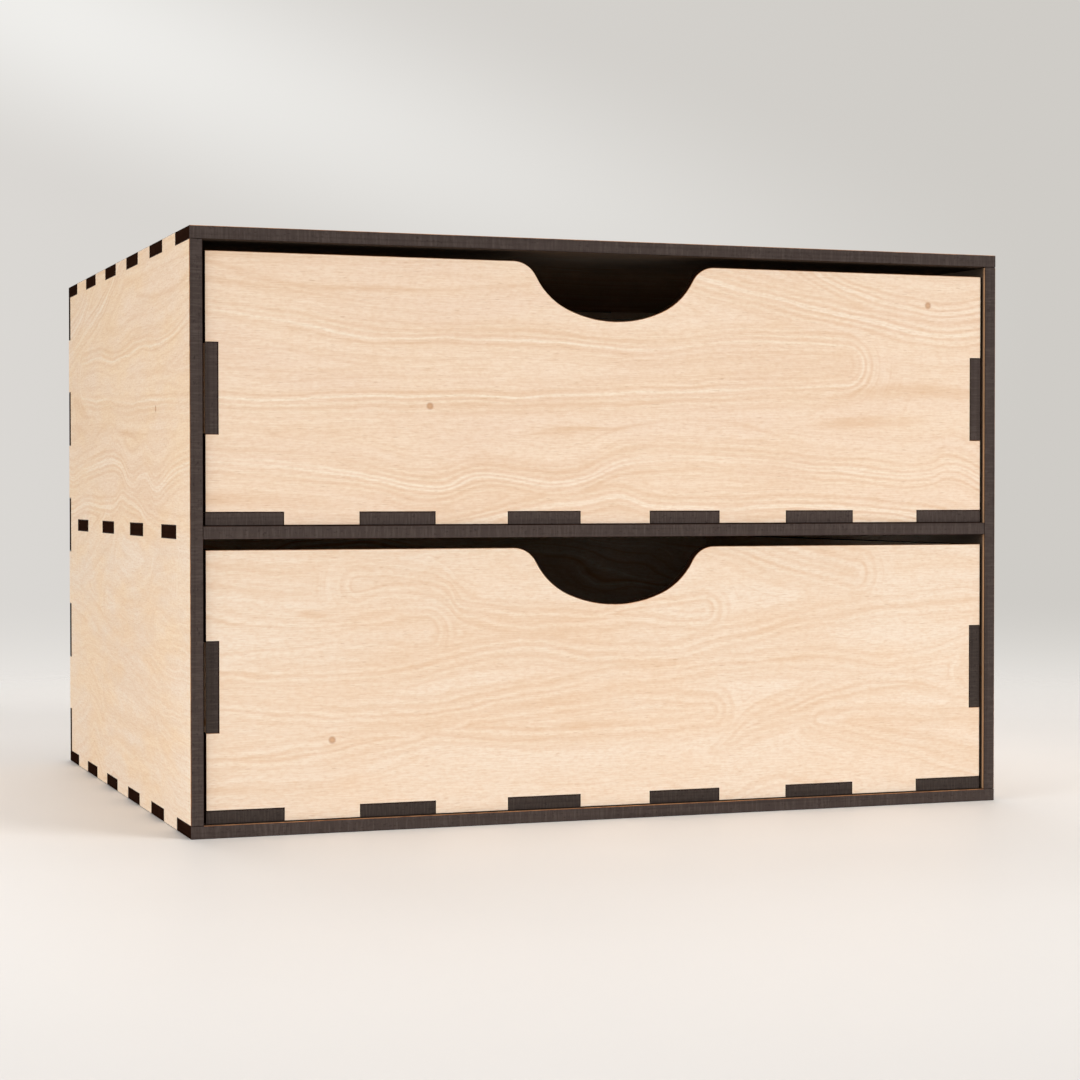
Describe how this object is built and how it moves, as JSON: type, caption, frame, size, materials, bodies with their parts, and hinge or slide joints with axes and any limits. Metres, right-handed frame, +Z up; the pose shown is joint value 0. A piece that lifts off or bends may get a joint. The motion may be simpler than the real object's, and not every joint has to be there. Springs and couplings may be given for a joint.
{
  "type": "router bit drawer box",
  "caption": "Finger-jointed plywood box with stacked drawers that slide forward, each with a curved finger pull and rails that hold router bits upright.",
  "frame": {"origin": "middle of the footprint, on the underside of the case", "axes": "+X to the right as the drawers are faced, +Y to the back, +Z up; the drawers open towards -Y"},
  "size_m": [0.412, 0.3466, 0.276],
  "materials": {
    "birch_plywood_case": "raw laser-cut birch plywood",
    "birch_plywood_drawer": "raw laser-cut birch plywood",
    "birch_plywood_rack": "raw laser-cut birch plywood"
  },
  "bodies": {
    "case": {"case_back": "birch_plywood_case", "case_bottom": "birch_plywood_case", "case_left_side": "birch_plywood_case", "case_right_side": "birch_plywood_case", "case_shelf": "birch_plywood_case", "case_top": "birch_plywood_case"},
    "upper_drawer": {"upper_drawer_back": "birch_plywood_drawer", "upper_drawer_bit_rail_1": "birch_plywood_rack", "upper_drawer_bit_rail_2": "birch_plywood_rack", "upper_drawer_bit_rail_3": "birch_plywood_rack", "upper_drawer_bottom": "birch_plywood_drawer", "upper_drawer_front": "birch_plywood_drawer", "upper_drawer_left_side": "birch_plywood_drawer", "upper_drawer_rail_support_left": "birch_plywood_rack", "upper_drawer_rail_support_middle": "birch_plywood_rack", "upper_drawer_rail_support_right": "birch_plywood_rack", "upper_drawer_right_side": "birch_plywood_drawer"},
    "lower_drawer": {"lower_drawer_back": "birch_plywood_drawer", "lower_drawer_bit_rail_1": "birch_plywood_rack", "lower_drawer_bit_rail_2": "birch_plywood_rack", "lower_drawer_bit_rail_3": "birch_plywood_rack", "lower_drawer_bottom": "birch_plywood_drawer", "lower_drawer_front": "birch_plywood_drawer", "lower_drawer_left_side": "birch_plywood_drawer", "lower_drawer_rail_support_left": "birch_plywood_rack", "lower_drawer_rail_support_middle": "birch_plywood_rack", "lower_drawer_rail_support_right": "birch_plywood_rack", "lower_drawer_right_side": "birch_plywood_drawer"}
  },
  "joints": [
    {"name": "upper_drawer_slide", "type": "slide", "parent": "case", "child": "upper_drawer", "axis": [0, -1, 0], "range_m": [0, 0.28]},
    {"name": "lower_drawer_slide", "type": "slide", "parent": "case", "child": "lower_drawer", "axis": [0, -1, 0], "range_m": [0, 0.28]}
  ]
}
